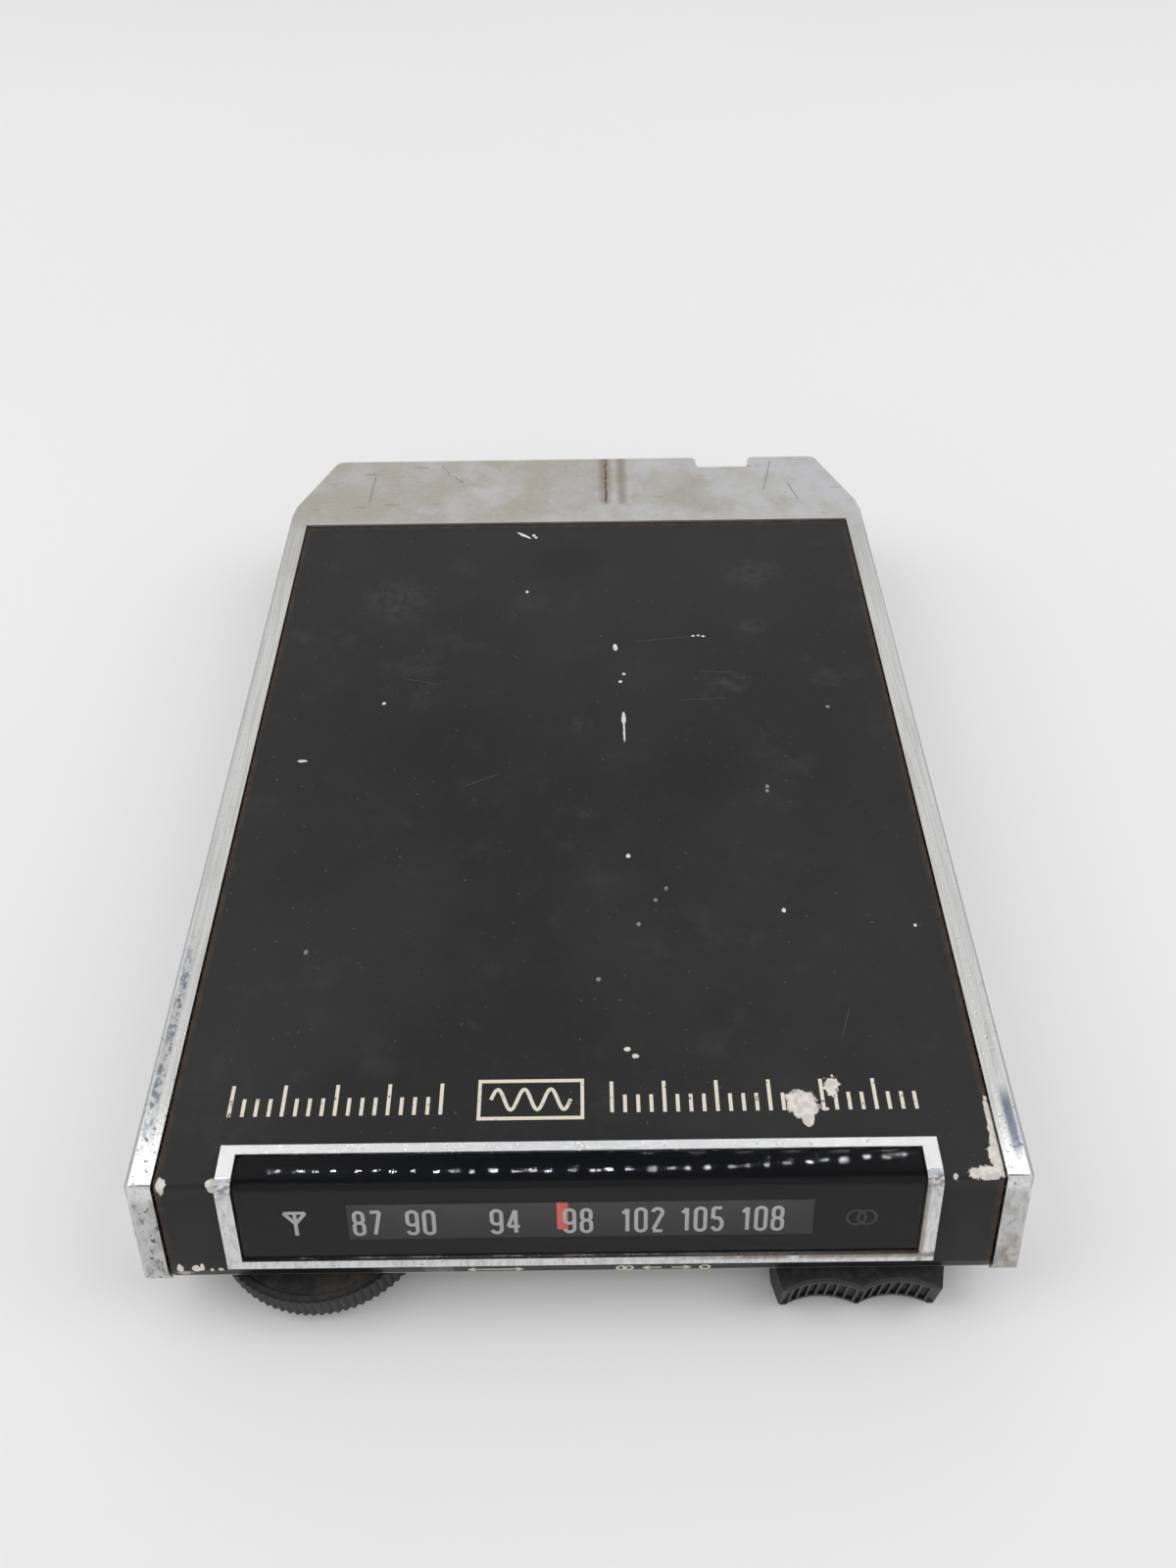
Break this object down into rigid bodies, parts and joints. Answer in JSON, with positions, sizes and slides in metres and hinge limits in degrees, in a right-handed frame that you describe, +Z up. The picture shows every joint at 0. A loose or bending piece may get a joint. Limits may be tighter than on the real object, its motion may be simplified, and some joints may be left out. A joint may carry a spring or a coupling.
{
  "type": "cartridge radio tuner",
  "caption": "Flat cartridge-shaped radio tuner with a leaning nose, a framed dial behind a wrap-round lens, a tuning thumbwheel and a slide knob; it plugs into a tape player's slot.",
  "frame": {"origin": "middle of the footprint, on the surface it rests on", "axes": "+Y from the nose to the end that goes into the player, +Z up, +X to the right seen from the nose"},
  "size_m": [0.1026, 0.1476, 0.0213],
  "materials": {
    "cast_metal": "cast and part polished",
    "black_paint": "satin paint, chipped at the bends",
    "plated_sheet": "plated sheet",
    "bright_steel": "turned and plated",
    "chrome_trim": "bright chrome",
    "smoked_lens": "clear with a dark print behind",
    "mask_black": "printed film",
    "dial_grey": "matt paint",
    "pointer_red": "moulded",
    "black_plastic": "moulded, dusty",
    "ivory_plastic": "moulded",
    "brass_turned": "turned",
    "cord_thread": "braided",
    "lamp_glass": "clear bulb",
    "lead_red": "sleeved wire",
    "lead_black": "sleeved wire",
    "board_brown": "paper laminate",
    "can_metal": "drawn",
    "coil_copper": "enamelled wire",
    "chip_black": "moulded",
    "sleeve_blue": "shrunk sleeve",
    "ceramic_tan": "dipped",
    "ferrite": "pressed",
    "bakelite": "moulded"
  },
  "bodies": {
    "case": {"case_frame": "cast_metal", "top_cover": "black_paint", "bottom_cover": "plated_sheet", "dial_chassis": "plated_sheet", "switch_shell": "plated_sheet", "head_bracket": "plated_sheet", "bottom_screws": "bright_steel", "dial_plate_screws": "bright_steel", "chassis_screws": "bright_steel", "pointer_rail": "bright_steel", "pulley_post": "bright_steel", "switch_screws": "bright_steel", "board_screws": "bright_steel", "end_screws": "bright_steel", "dial_bezel": "chrome_trim", "dial_lens": "smoked_lens", "dial_mask": "mask_black", "dial_plate": "dial_grey", "lamp_holder": "black_plastic", "tuning_capacitor": "ivory_plastic", "spindle_bushes": "brass_turned", "can_cores": "brass_turned", "contact_springs": "brass_turned", "dial_cord": "cord_thread", "stereo_lamp": "lamp_glass", "lamp_leads": "lead_red", "head_leads": "lead_red", "supply_leads": "lead_black", "circuit_board": "board_brown", "if_cans": "can_metal", "front_end_shield": "can_metal", "coupling_head": "can_metal", "rf_coils": "coil_copper", "transistors": "chip_black", "decoder_chip": "chip_black", "electrolytics": "sleeve_blue", "trim_pots": "sleeve_blue", "disc_capacitors": "ceramic_tan", "resistors": "ceramic_tan", "supply_choke": "ferrite", "contact_block": "bakelite"},
    "tuner": {"tuning_wheel": "black_plastic", "tuning_spindle": "bright_steel", "wheel_screw": "bright_steel"},
    "drum": {"cord_drum": "ivory_plastic", "capacitor_shaft": "brass_turned", "drum_screw": "bright_steel"},
    "pulley": {"cord_pulley": "ivory_plastic"},
    "pointer": {"dial_pointer": "pointer_red", "pointer_carriage": "ivory_plastic"},
    "mode": {"mode_knob": "black_plastic", "switch_slider": "ivory_plastic"}
  },
  "joints": [
    {"name": "tuning_turn", "type": "hinge", "parent": "case", "child": "tuner", "pos_m": [-0.032, -0.05965, 0.004], "axis": [0, 0, 1], "range_deg": [-440, 458]},
    {"name": "drum_turn", "type": "hinge", "parent": "case", "child": "drum", "pos_m": [0, -0.02745, 0.016], "axis": [0, 0, 1], "range_deg": [-88.2, 91.8]},
    {"name": "pulley_turn", "type": "hinge", "parent": "case", "child": "pulley", "pos_m": [0.038, -0.05955, 0.0164], "axis": [0, 0, 1], "range_deg": [-426, 443.5]},
    {"name": "pointer_slide", "type": "slide", "parent": "case", "child": "pointer", "axis": [1, 0, 0], "range_m": [-0.0223, 0.0232]},
    {"name": "mode_slide", "type": "slide", "parent": "case", "child": "mode", "axis": [1, 0, 0], "range_m": [-0.004, 0]}
  ],
  "couplings": [
    {"joint": "drum_turn", "follows": "tuning_turn", "ratio": 0.2},
    {"joint": "pulley_turn", "follows": "tuning_turn", "ratio": 0.96667},
    {"joint": "pointer_slide", "follows": "tuning_turn", "m_per_rad": 0.0029}
  ]
}
